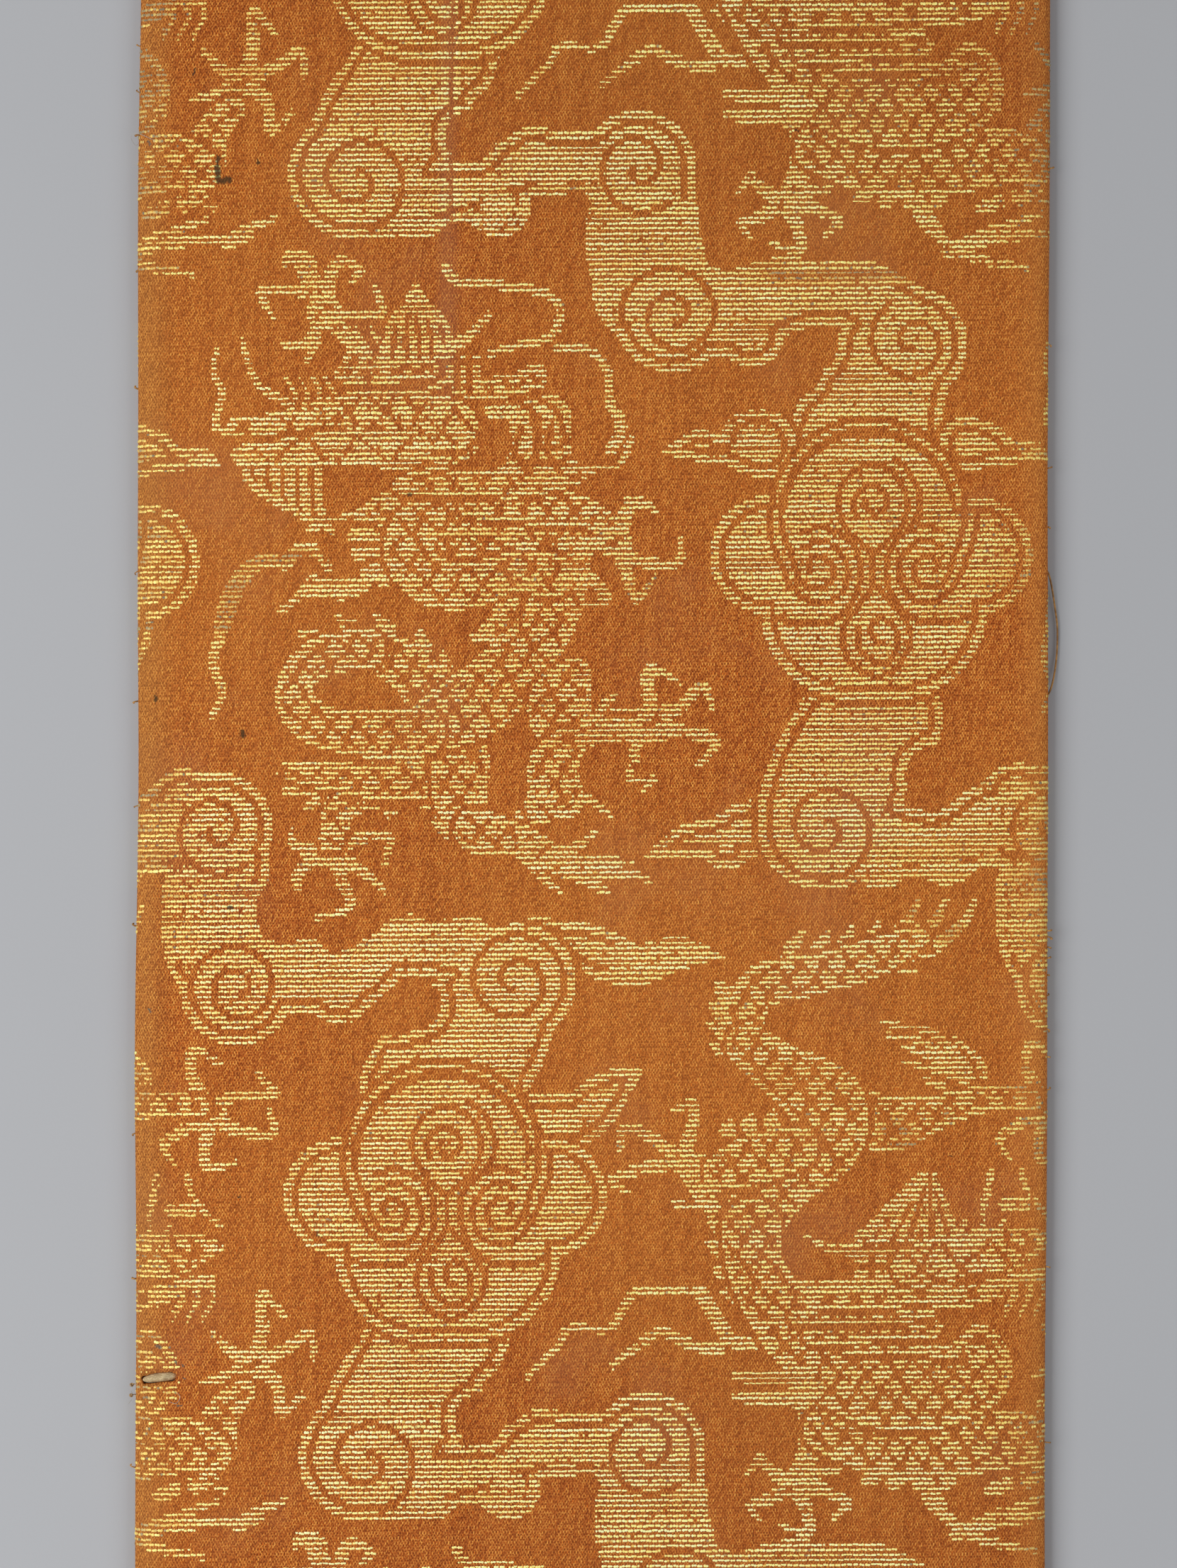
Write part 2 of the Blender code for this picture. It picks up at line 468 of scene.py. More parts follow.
# Near both sides the silk turns a darker ochre: partly real wear, partly painted sheen and shade where the
# cloth rolls over the edge.
from_left, from_right = across + 63.5, 63.5 - across
fibre = strokes * 0.6 + speckle * 0.4
edge_wear_and_shade_left = fibre.mixed((0.27, 0.100, 0.018, 1), (0.66, 0.300, 0.065, 1))
colour = (from_left.step(6.5, 1.0) * 0.5).mixed(colour, edge_wear_and_shade_left)
edge_wear_and_shade_right = fibre.mixed((0.46, 0.140, 0.026, 1), (0.95, 0.390, 0.080, 1))
colour = (from_right.step(6.0, 1.0) * 0.45).mixed(colour, edge_wear_and_shade_right)
# The silk is darker towards both ends, on the right more than on the left
to_ends = along.step(45, 105).math("MAXIMUM", along.step(-40, -100) * 0.8)
colour = (to_ends * (across.step(-60, 30) * 0.16 + 0.06)).mixed(colour, (0.20, 0.060, 0.012, 1))
# A mauve tinge runs down the long crease at the top left
by_crease = (across + 20.3).math("ABSOLUTE").step(2.2, 0.3) * along.step(44, 60)
colour = (by_crease * 0.3).mixed(colour, (0.34, 0.12, 0.055, 1))
feed(ground_shader, "Base Color", soiled(ground_place, colour, 0.9))
thread_height = strokes * 0.8 + speckle * 0.2
bump = ground_place.add("ShaderNodeBump", Height=thread_height, Strength=0.55, Distance=0.00012)
feed(ground_shader, "Normal", bump)

flat_places = np.stack([flat_u, flat_v], axis=-1)
cloth = new_piece("brocade_ground", lay(flat_u, flat_v), ground_faces, ground_finish, flat_places)
shell = cloth.modifiers.new("thickness", "SOLIDIFY")
shell.thickness = cloth_thickness * MM
shell.offset = -1
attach(cloth, "root")
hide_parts("brocade_cloth")


# The worn slit near the left side. The silk has given way over 5 mm, and the board's fibres swell up
# through it.
slit_length, slit_width = 5.0, 1.4
slit_x, slit_y = -60.0, -82.8
slit_turn = math.radians(8)
ring_count = 48
around = np.linspace(0, 2 * np.pi, ring_count, endpoint=False)
ragged = 1 + 0.10 * np.sin(5 * around + 0.7) + 0.07 * np.sin(11 * around + 2.1)
half_straight, half_slit = (slit_length - slit_width) / 2, slit_width / 2
ring_x = half_straight * np.tanh(3 * np.cos(around)) + half_slit * np.cos(around) * ragged
ring_y = half_slit * np.sin(around) * ragged
turned_x = slit_x + ring_x * math.cos(slit_turn) - ring_y * math.sin(slit_turn)
turned_y = slit_y + ring_x * math.sin(slit_turn) + ring_y * math.cos(slit_turn)
rings = [np.stack([turned_x, turned_y, np.full(ring_count, level)], axis=-1) for level in (2.0, 4.5)]
cutter_mesh = bpy.data.meshes.new("slit_cutter")
number = np.arange(ring_count)
after = (number + 1) % ring_count
sides = np.stack([number, after, after + ring_count, number + ring_count], axis=-1).tolist()
caps = [number[::-1].tolist(), (number + ring_count).tolist()]
cutter_mesh.from_pydata((np.concatenate(rings) * MM).tolist(), [], sides + caps)
cutter = placed("slit_cutter", cutter_mesh)
opening = cloth.modifiers.new("slit", "BOOLEAN")
opening.operation = "DIFFERENCE"
opening.solver = "EXACT"
opening.object = cutter
bpy.context.view_layer.update()
cut_mesh = bpy.data.meshes.new_from_object(cloth.evaluated_get(bpy.context.evaluated_depsgraph_get()))
cloth.modifiers.clear()
cloth.data = cut_mesh
bpy.data.objects.remove(cutter)


# The chart of the figure, repeated every 116 mm across and 178 mm along: a winding bank of cloud in two
# reaches, and two dragons between. It is drawn in millimetres from the panel's middle. A cell is
# one gilt float long and one weft high, and is gold where its middle is.
chart_columns, chart_rows = 278, 253
chart = np.zeros((chart_rows, chart_columns), bool)
line = 0.38


def curve(marks, steps=6):
    """Points on a smooth curve through the marks, each a row of numbers: cubics whose slope at a mark
    is half the way from the mark before it to the mark after it."""
    marks = np.array(marks, float)
    if len(marks) == 1:
        return marks
    ends = np.concatenate([2 * marks[:1] - marks[1:2], marks, 2 * marks[-1:] - marks[-2:-1]])
    a, b, c, d = ends[:-3, None], ends[1:-2, None], ends[2:-1, None], ends[3:, None]
    t = np.linspace(0, 1, steps, endpoint=False)[None, :, None]
    points = b + 0.5 * t * (c - a + t * (2 * a - 5 * b + 4 * c - d + t * (3 * (b - c) + d - a)))
    return np.concatenate([points.reshape(-1, marks.shape[1]), marks[-1:]])


def curl(x, y, start, turns, outer, inner=0.9):
    """Marks of a spiral round (x, y): its radius shrinks evenly from outer to inner over the turns,
    anticlockwise where turns is more than 0. start is the angle in degrees where its outer end
    lies."""
    share = np.linspace(0, 1, int(abs(turns) * 10) + 3)
    angle = np.radians(start + 360 * turns * share)
    radius = outer + (inner - outer) * share
    return np.stack([x + radius * np.cos(angle), y + radius * np.sin(angle)], axis=-1)


def cells_near(points, margin):
    """The chart's cells round these points: where they are in the chart, and the middles of their
    columns and rows."""
    low = np.floor((points[:, :2].min(0) - margin) / (warp_pitch, gilt_pitch)).astype(int)
    high = np.ceil((points[:, :2].max(0) + margin) / (warp_pitch, gilt_pitch)).astype(int)
    columns, rows = np.arange(low[0], high[0]), np.arange(low[1], high[1])
    where = np.ix_(rows % chart_rows, columns % chart_columns)
    return where, (columns + 0.5) * warp_pitch, ((rows + 0.5) * gilt_pitch)[:, None]


def outside(points, x, y):
    """How far each cell lies outside a band, less than 0 inside it: the least, over the band's
    stretches, of its distance from the stretch's middle line less the half-width there."""
    starts, ends = (points, points) if len(points) == 1 else (points[:-1], points[1:])
    least = np.full(np.broadcast(x, y).shape, 1e9)
    for (x0, y0, w0), (x1, y1, w1) in zip(starts, ends):
        run = math.hypot(x1 - x0, y1 - y0) + 1e-9
        share = np.clip(((x - x0) * (x1 - x0) + (y - y0) * (y1 - y0)) / run**2, 0, 1)
        away = np.hypot(x - x0 - share * (x1 - x0), y - y0 - share * (y1 - y0))
        least = np.minimum(least, away - w0 - share * (w1 - w0))
    return least


def band(marks, value=True):
    """Paints a band along the marks, gold or bare."""
    points = curve(marks)
    where, x, y = cells_near(points, points[:, 2].max() + 0.5)
    part = chart[where]
    part[outside(points, x, y) < 0] = value
    chart[where] = part


def strand(marks, root, tip, value=True):
    """Paints a band along marks of (x, y) whose half-width runs evenly from root to tip."""
    marks = np.array(marks, float)
    band(np.column_stack([marks, np.linspace(root, tip, len(marks))]), value)


def bare(marks):
    """Paints a thin bare line along marks of (x, y)."""
    strand(marks, line, line, False)


def cloud_form(shapes, pockets=(), plain=(), rim=1.7, halo=0.75):
    """Paints one form of cloud: the union of its bands less its round pockets, with a bare line round
    outside it, its own edge in gold, a bare line inside that, and gold within. Pockets and plain
    places are (x, y, reach); round a plain place the edge has no line."""
    drawn = [curve(marks) for marks in shapes]
    points = np.concatenate(drawn)
    where, x, y = cells_near(points, points[:, 2].max() + 1.5)
    depth = np.min([outside(one, x, y) for one in drawn], axis=0)
    for pocket_x, pocket_y, reach in pockets:
        depth = np.maximum(depth, reach - np.hypot(x - pocket_x, y - pocket_y))
    lined = (depth < -rim + line) & (depth > -rim - line)
    for plain_x, plain_y, reach in plain:
        lined &= np.hypot(x - plain_x, y - plain_y) > reach
    part = chart[where]
    part[depth < halo] = False
    part[(depth < 0) & ~lined] = True
    chart[where] = part


def ruyi_head(x, y):
    """A head of cloud round (x, y): two side lobes and a lower one, an upper lobe over them, and four
    curls."""
    cloud_form(
        [
            [(x - 14.4, y + 0.6, 8.4)],
            [(x + 14.0, y + 0.4, 8.3)],
            [(x - 3.0, y - 6.8, 12.8), (x + 3.0, y - 6.8, 12.8)],
            [(x - 0.5, y + 5.5, 13.7)],
        ],
    )
    bare(curl(x - 0.5, y + 5.5, 178, -0.46, 14.0, 14.0))
    bare(curl(x - 0.5, y + 5.5, 165, -0.40, 12.4, 12.4))
    sweep = [
        (13.5, -8.1), (10.7, -8.8), (6.9, -8.8), (4.1, -7.4), (2.5, -5), (1.8, -2.2), (2.2, 0.8),
        (4, 3.2), (6.9, 4.4), (9.7, 3.9),
    ]
    outer = [
        (14.4, 6.2), (14.2, 3), (13, -0.3), (11.2, -3.8), (8.8, -5.8), (6, -5.8), (4, -4), (3.6, -1.2),
        (4.9, 1.4), (7.4, 2.5), (9.6, 1.6),
    ]
    inner = [
        (12.8, 9), (12.8, 5.8), (12.3, 3), (11.2, 0.2), (10.4, -2.4), (8.8, -4), (6.8, -3.8), (5.6, -2.2),
        (6, -0.4), (7.8, 0.4), (9, -0.6), (8.6, -2),
    ]
    upper = [
        (0, 0.8), (-1.6, 2), (-3.4, 4), (-4.7, 7), (-4.2, 10.2), (-1.8, 12.6), (1.5, 12.8), (3.9, 10.8),
        (4.8, 8), (4.2, 5), (2.2, 2.6), (0.2, 0.8),
    ]
    lower = [
        (0, -3.6), (-1.8, -6.2), (-3.8, -8.6), (-4.4, -11), (-3.6, -14), (-1.6, -15.8), (1.2, -16.2),
        (3.6, -14.6), (5, -12), (4.8, -9.4), (3.2, -7), (1.4, -5), (0.2, -3.6),
    ]
    low_curl = [
        (-2.3, -9.2), (-2.2, -12), (-0.6, -14), (1.6, -14.4), (3, -12.8), (3.2, -10.4), (2.2, -8.8),
        (0.6, -8.4), (-0.4, -9.6), (0, -11.2), (1.2, -11.4),
    ]
    for marks in (sweep, outer, inner):
        for side in (-1, 1):
            bare([(x + side * along, y + up) for along, up in marks])
    for marks in (
        upper, lower, low_curl, [(0, 1), (0, -3.6)],
        [(3, 14), (5.2, 12), (6.5, 9.4), (6.6, 6.6), (5.4, 4.6)],
    ):
        bare([(x + along, y + up) for along, up in marks])
    bare(curl(x + 0.1, y + 7.8, 215, -1.15, 2.9, 1.0))


# The upper reach: a foot curl and its arm, a curl above a stem and one below it, and the long arm
cloud_form(
    [
        [(-21.5, 103, 9.6), (-24.6, 96.5, 10.0), (-28.4, 91, 9.6), (-31, 86, 9.2)],
        [(-32.6, 85, 9.0)],
        [(-28, 82, 6), (-18, 82.4, 4.1), (-10, 85.6, 4.4), (-2, 86.5, 4.4), (6, 86.5, 5)],
        [(-23.6, 80.4, 4.5)],
        [(-12.4, 80.6, 4.6)],
        [(-7.4, 87, 4.6)],
        [(7, 85.6, 8.1)],
        [(8.2, 82, 7), (7.4, 76, 8.0), (8.4, 71, 8.0), (6.5, 68, 6)],
        [(11.6, 65.2, 8.2)],
        [(14, 65.8, 6.4), (20, 65.4, 6), (26, 67.4, 5.4), (32, 67.9, 4.3), (38, 67.6, 5), (44, 64, 5.4)],
        [(22.6, 62.4, 4.7)],
        [(27.4, 69, 4.4)],
        [(37.6, 68.2, 4.7)],
        [(44.6, 60.8, 8.1)],
        [(42.5, 59.5, 8.2), (41.6, 55.6, 8.4), (39.6, 51.6, 9.6), (38.4, 47, 11)],
    ],
    pockets=[(-16.3, 90.0, 3.5), (-13.0, 93.6, 3.0), (31.3, 60.2, 3.1), (28.8, 56.8, 3.2)],
    plain=[
        (-24, 75, 5), (-13, 75, 5), (-5, 79, 5), (0, 76, 7.5), (2, 68, 4.5),
        (16.5, 76, 6), (24, 75, 9), (37, 74.5, 8),
    ],
)
bare(curl(-32, 84.3, -75, 1.45, 7.2))
bare(curl(7, 85.6, -50, -1.35, 6.6))
bare(curl(11.8, 65, 190, -1.75, 7.6))
bare(curl(45, 61, 120, 1.4, 6.3))

# The lower reach, the same parts lying closer together, and its tails
cloud_form(
    [
        [(24, -6, 4.2), (18, -7.6, 3.2), (12.5, -8.2, 2.2), (7.6, -10.2, 0.4)], [(18.5, -9, 3.2)],
        [(20.6, -6, 3.2)],
    ],
)
cloud_form(
    [
        [
            (-10, -21, 2.4), (-4, -21.6, 2.8), (1, -23.6, 3.6), (6, -25.3, 2.9), (12, -23.6, 2.4),
            (17.8, -24.3, 0.4),
        ],
    ],
    plain=[(11, -26, 9)],
)
cloud_form(
    [
        [(39.4, 9, 9.4), (35.8, 4.5, 9.4), (33.8, 0, 9.7), (32, -4, 9.2)],
        [(32, -5.9, 9.2)],
        [(36, -7, 6.5), (44, -8.6, 5), (50, -8.2, 4.6), (56, -6, 6), (62, -6, 6)],
        [(40, -10.6, 4.4)],
        [(49, -10.2, 4.4)],
        [(58.8, -2.2, 4.8)],
        [(63.5, -5.8, 7.9)],
        [(64, -11, 7), (62.6, -15, 6.7), (62.6, -19, 6.8), (63, -23, 6.6), (62, -25.4, 4)],
        [(66.5, -28, 8)],
        [(67, -26.5, 6), (76, -27, 4.4), (83, -26.8, 4.2), (89, -22.9, 3.6), (98, -23.4, 4.6), (104, -26, 5)],
        [(80.6, -28.2, 4.9)],
        [(76, -24.8, 3.6)],
        [(90.2, -22.5, 4.6)],
        [(98.4, -22.8, 4.6)],
        [(105.2, -27.6, 8.3)],
        [(102.6, -30.5, 8.6), (100, -35, 9.6), (97, -38.4, 10.8), (95.2, -43, 12)],
    ],
    pockets=[(47.8, 0.8, 4.3), (91.2, -30.4, 3.5), (88.4, -32.0, 2.9)],
    plain=[
        (40, -15.6, 5), (49, -15.3, 5), (55.5, -13, 3), (55, -19, 6), (69.5, -18, 4.5),
        (74, -20.5, 6), (83, -21, 6), (90, -17, 5), (98, -18, 5),
    ],
)
bare(curl(32.2, -6.4, -75, 1.45, 7.2))
bare(curl(63.4, -6, -50, -1.35, 6.5))
bare(curl(66.5, -28, 190, -1.75, 6.6))
bare(curl(105, -27.4, 120, 1.4, 6.4))

# The heads, over the necks, with their tails behind them
cloud_form([[(24, 47, 4.8), (19, 46.4, 2.2), (15, 46.9, 2.2), (10.4, 46.2, 0.4)], [(22.5, 47.6, 4.2)]])
cloud_form([[(52.5, 46.8, 4), (55.5, 46.6, 3), (58.6, 45.6, 1.7), (61.6, 45.9, 1.5), (64.4, 44.8, 0.4)]])
ruyi_head(39.3, 31)
cloud_form([[(-8, -47, 3.8), (-2.5, -46.6, 3.8), (1.4, -43.4, 3.2), (5.6, -40.2, 1)]])
ruyi_head(-20.6, -57.8)


def scaled(marks, size=3.8, halo=0.6):
    """Paints a stretch of a dragon's body: a bare line outside it, its edge in gold, and inside that
    small gold lozenges between bare lines that run aslant both ways."""
    points = curve(marks)
    where, x, y = cells_near(points, points[:, 2].max() + 1.5)
    beyond = outside(points, x, y)
    edge, gap = 0.8, 0.36
    bend = 0.5 * np.sin(0.9 * y + 0.35 * x)
    leaning_on, leaning_back = x + 0.9 * y + bend, x - 0.9 * y + bend
    net = np.minimum(np.abs(leaning_on % size - size / 2), np.abs(leaning_back % size - size / 2))
    part = chart[where]
    part[beyond < halo] = False
    part[(beyond < 0) & ((beyond > -edge) | (net > gap))] = True
    chart[where] = part


def fins(marks, side, pitch=3.4, length=3.2, lean=0.9):
    """Paints a row of pointed fins along a band's left (side 1) or right (side -1) edge, each leaning
    back."""
    points = curve(marks)
    steps = np.hypot(*np.diff(points[:, :2], axis=0).T)
    so_far = np.concatenate([[0], np.cumsum(steps)])
    for at in np.arange(pitch / 2, so_far[-1], pitch):
        x, y, reach = (np.interp(at, so_far, points[:, axis]) for axis in range(3))
        ahead = [np.interp(at + 0.5, so_far, points[:, axis]) for axis in (0, 1)]
        behind = [np.interp(at - 0.5, so_far, points[:, axis]) for axis in (0, 1)]
        turn = math.atan2(ahead[1] - behind[1], ahead[0] - behind[0])
        root = (x - side * reach * math.sin(turn), y + side * reach * math.cos(turn))
        tip = turn + side * (math.pi / 2 + lean)
        strand([root, (root[0] + length * math.cos(tip), root[1] + length * math.sin(tip))], 1.3, 0.35)


def fan(root, tip, width, count):
    """Paints a flame: strands that start side by side at the root, swell outwards and meet at the tip."""
    (x0, y0), (x1, y1) = root, tip
    length = math.hypot(x1 - x0, y1 - y0)
    over, up = -(y1 - y0) / length, (x1 - x0) / length
    for share in np.linspace(-0.5, 0.5, count):
        marks = []
        for reach, spread in ((0, 1), (0.4, 0.85), (0.95 - 0.5 * abs(share), 0.25)):
            aside = width * share * spread
            marks.append((x0 + reach * (x1 - x0) + over * aside, y0 + reach * (y1 - y0) + up * aside))
        strand(marks, 0.66, 0.4)


def claw(palm, talons, size=2.4):
    """Paints a claw: its palm, and its talons each from the palm out through their marks to a point."""
    for talon in talons:
        strand([palm, *talon], 1.2, 0.45)
    band([(*palm, size)])
    bare([(palm[0] - 0.8, palm[1] - 0.5), (palm[0] + 0.8, palm[1] + 0.5)])


# The first dragon: its tail, the loop of its body, its legs and claws
snake = [(-4, 33, 4.4), (-4.6, 27, 4), (-6.5, 21.5, 3.8), (-11, 16.5, 4.4), (-16, 11.5, 5), (-24, 7.4, 3.6)]
loop = [(-24, 7.4, 3.6), (-33, 7.2, 3.2), (-40, 9.6, 3), (-41.4, 14, 2.6), (-37.5, 18, 2.8), (-31.5, 19, 2.9)]
back = [
    (-31.5, 19, 2.9), (-26, 16.6, 3.3), (-21.6, 11, 3.8), (-18.6, 4.4, 4.2), (-18.4, -2, 3.8),
    (-16.2, -6.4, 3.2),
]
tail = [(-16.2, -6.4, 3.2), (-10.6, -7.8, 2.4), (-6, -10, 2), (-2, -12.2, 1.6), (3, -12.6, 0.8)]
claw(
    (-37, -9),
    [
        [(-41, -8.6), (-42.4, -6)], [(-41, -12), (-41, -14.6)], [(-35, -13), (-34, -17), (-38.6, -18.4)],
        [(-32, -12), (-29, -14.8)], [(-32, -7.4), (-28.4, -7), (-29, -11)],
    ],
)
for x, y in ((-43.8, 1.8), (-43, -0.8), (-40, -3), (-34, -4.8), (-28.6, -4.2), (-23.6, -3.2)):
    strand([(x + 6, 0.4), (x, y)], 1.8, 0.5)
scaled([(-36.4, -7.6, 1.8), (-35, -3, 2.4), (-30, -0.4, 2.8), (-23, -0.2, 3)])
scaled([(-22, 0.6, 2.8), (-30, 0.6, 2.6), (-36, 1, 2), (-42, 1.6, 1)])
strand([(-34, 3), (-38, 3.2), (-43, 3)], 0.6, 0.4)
scaled(back)
fins([(-39.4, 17.4, 2.4), (-34, 19.2, 2.8), (-27.5, 18.2, 3.0), (-22, 13, 3.4)], 1, 4.2, 2.4)
scaled(snake)
scaled(loop)
fins([(-15, 19, 1), (-11.6, 22.6, 1), (-9.6, 27, 1)], 1, 3, 2.4)
strand([(-14, -4.6), (-20, -6.6), (-22, -5)], 1.4, 0.5)
scaled(tail)
for marks in (
    [(-10, -9), (-7, -13), (-4.4, -15)], [(-3, -12), (1, -14.6), (2, -15.2)],
    [(2, -12.4), (6, -12.8), (8, -13.6)], [(-5, -9.4), (-2, -8.6), (0.6, -6.6)],
    [(-4, -10.4), (0, -10.6), (5.4, -10.8)],
):
    strand(marks, 1.1, 0.4)
scaled([(-2.6, 15, 2.6), (-4.6, 11, 4.4), (-3.6, 6.6, 3.6)])
scaled([(-3.4, 5.4, 2.6), (-5.6, 1.8, 3.6), (-4, -2, 3)])
strand([(-1, -1.8), (1, -3.2), (2.4, -4.4)], 0.7, 0.4)
strand([(-7, 0), (-8.6, -3), (-6.6, -5.2), (-10.6, -4.2)], 1.2, 0.4)
claw(
    (8.4, 8.4),
    [
        [(1.4, 8.4), (1.6, 11), (3.4, 12.2)], [(7.8, 12), (7.6, 16.2)],
        [(7.8, 15.4), (9.6, 15.6), (12, 14)], [(12, 10.4), (15.4, 13.4), (16.8, 10.4)],
        [(13.4, 7), (17.2, 6), (14.6, 2.2)], [(6, 5), (6, 3)],
    ],
)
strand([(11, 10.2), (3, 10.2)], 0.8, 0.4)
strand([(0, 6.4), (4, 6.6), (14, 6.6)], 1.2, 0.5)
strand([(5.2, 2), (5.4, 0.2), (8.6, 0.6), (7, -1)], 0.6, 0.4)

# Its neck, its right foreleg and its ribbons
band([(-28.6, 28.4, 1), (-30.8, 31.2, 1.9), (-31.4, 34.8, 2.2), (-29.2, 38.2, 2), (-26.4, 40.6, 0.8)])
for x, y in ((-33, 30.2), (-34, 33.2), (-34, 36.4), (-32.4, 39.4)):
    strand([(-27, 0.5 * y + 17.4), (x, y)], line, line, False)
scaled([(-14, 33.6, 3), (-19.6, 33, 3.4), (-21, 33.2, 3)], 3.9)
scaled(
    [
        (-5.6, 29, 3.2), (-11, 29.6, 2.8), (-17, 27.6, 3.2), (-22.6, 28.6, 3.6), (-25.4, 33.2, 3.4),
        (-22.4, 37.2, 3.2), (-15, 37.6, 2.9), (-9, 35, 2.6),
    ],
    4.2,
)
scaled([(-16, 39.6, 2.6), (-8, 38.8, 2.6), (-1, 38, 2.1), (2.6, 35.6, 1.8)])
claw(
    (3.4, 33.8),
    [
        [(-1, 33.4), (-4.8, 33.6)], [(5, 37), (5.2, 40)], [(5.6, 38.6), (7.6, 39), (9.2, 37.4)],
        [(6.6, 31), (12.2, 30.8), (12.4, 34)], [(5, 29.4), (6.4, 25.6), (9, 28.8)],
    ],
    2.4,
)
strand([(-3, 29.6), (0, 28.6), (2, 25.4), (-4, 25)], 1.2, 0.4)
band(
    [
        (-53, 9.6, 0.5), (-51.4, 13.2, 0.7), (-52.7, 17, 0.7), (-51.8, 20.4, 0.9), (-50.8, 24, 1.4),
        (-49.4, 27.8, 1.4), (-46.4, 31, 1.1), (-42.6, 31.2, 0.8),
    ],
)
strand([(-42.6, 31), (-40, 33), (-37.6, 32.2), (-36.4, 30)], 1.1, 0.6)
strand([(-43, 24.4), (-41, 26), (-38.6, 29)], 0.6, 0.6)
band([(-39.6, 27, 0.9), (-37, 27.4, 1.6), (-33, 27.4, 1.4), (-29.6, 29.8, 0.8)])

# Its head and mane: jaws, teeth and beard, whiskers, brow, eye, horn and flame
strand([(-22, 43), (-30, 39), (-39, 35.6)], 0.75, 0.4)
strand([(-18, 44.4), (-13, 43.6), (-10, 45)], 0.6, 0.5)
scaled([(-26, 41.6, 1.4), (-18, 42, 1.7), (-10, 42, 2.2), (-2, 43.2, 1.6)], 4.2)
band([(-9.8, 50.6, 1.5), (-9.4, 47, 1.6), (-10.4, 44, 1.5)])
band([(-4.4, 51.6, 1.9), (-5, 47, 2.4), (-5.4, 43.6, 2.4)])
band([(-13.4, 51.8, 1.3), (-8, 53, 1.7), (-4.8, 52.6, 1.5)])
for marks in (
    [(-12.4, 54), (-7.8, 51.8), (-7.2, 47), (-8.6, 43)], [(-9.4, 55), (-4.8, 52), (-3.4, 48.4)],
    [(-9.6, 49.4), (-10.4, 46.4), (-9.2, 44)], [(-5.2, 50.2), (-5.8, 46.6), (-4.2, 43.4)],
    [(-11, 45.6), (-7, 44.6), (-3, 45.2)], [(-7.4, 49), (-5, 48.6)], [(-7, 46.6), (-3, 47.4)],
):
    bare(marks)
scaled([(-22, 54.6, 1.4), (-14, 55, 1.6), (-7, 56.4, 1.4)], 3.4)
strand([(-10, 56.6), (-8, 58), (-6.6, 58.4)], 0.7, 0.4)
scaled([(-29, 46, 2), (-23, 45.4, 2.2), (-17.4, 47, 1.8)], 3.4)
scaled([(-37, 50.6, 3.2), (-31, 51.2, 3.8), (-24.6, 50.8, 4.2), (-19.4, 50, 3.8)], 5.2)
scaled([(-48.8, 49.7, 1.9), (-42.6, 49.6, 2.3), (-38, 49.4, 2.6)], 6)
scaled([(-48.4, 46, 1.5), (-40, 46.6, 2.5), (-32, 47, 2.7), (-24, 46.8, 2.2)], 8, 0.2)
bare([(-49.6, 48), (-45, 48.2), (-40.4, 49.2), (-36, 49.4)])
for x, y in ((-47.8, 40.6), (-45.8, 39.4), (-43.8, 38.2), (-41.8, 37), (-39.8, 36), (-37.8, 35.2)):
    strand([(x, 43.8), (x + 0.4, y + 2), (x + 2, y)], 0.78, 0.5)
strand([(-49.6, 49), (-52, 50.4), (-51, 54.6), (-52, 57.4), (-51.8, 60.8)], 0.7, 0.4)
strand([(-42, 53.4), (-45.6, 55.4), (-47.2, 58.4), (-48.2, 62.4)], 0.7, 0.4)
for x in (-41.6, -39.8, -38, -36.2):
    strand([(x, 52), (x + 0.6, 54.6), (x - 0.6, 57)], 0.45, 0.3)
scaled([(-34.2, 57.3, 1.3), (-28, 57.4, 1.5), (-22, 57.7, 1.3)], 3.2)
for x in (-34, -31.8, -29.6):
    strand([(x, 58), (x + 0.8, 61), (x - 0.6, 63.4)], 0.55, 0.4)
fan((-23.6, 59.6), (-24, 70.8), 9, 6)
strand([(-20.6, 60), (-17, 62.2), (-13.8, 65.4)], 1.1, 0.5)
for y in (55.8, 56.6, 57.4, 58.2, 59.2):
    strand([(-19.6, y), (-15.2, y)], 0.36, 0.36)
bare([(-18.2, 55), (-18.2, 60)])
bare([(-16.6, 55), (-16.6, 60)])
claw(
    (-36.8, 66),
    [
        [(-38, 69.4), (-38.4, 73), (-39.6, 74.4)], [(-41, 74), (-42.2, 72.2)],
        [(-35, 72.6), (-31.6, 71.6), (-33, 70)], [(-34, 65.6), (-28.8, 65.8), (-29.6, 69.4)],
        [(-39, 61.6), (-42.6, 61.4)], [(-38.4, 68.4), (-45.2, 69), (-43.8, 65)],
    ],
)
strand([(-38, 62), (-39.4, 58.6)], 0.8, 0.4)
strand([(-36, 65), (-33, 62), (-31, 60)], 1.4, 1)
strand(
    [(-19.6, 72), (-18.2, 70), (-12, 69.4), (-5.6, 68), (-4, 65), (-5.8, 62), (-10, 61), (-13.6, 60)],
    0.8, 0.6,
)
strand([(-4.6, 60.6), (0, 60.2), (2.6, 57), (2.8, 53), (4.4, 50), (3, 46.6)], 0.6, 0.9)
strand([(5.8, 48), (4, 44.4), (-1, 43.6)], 0.6, 0.4)

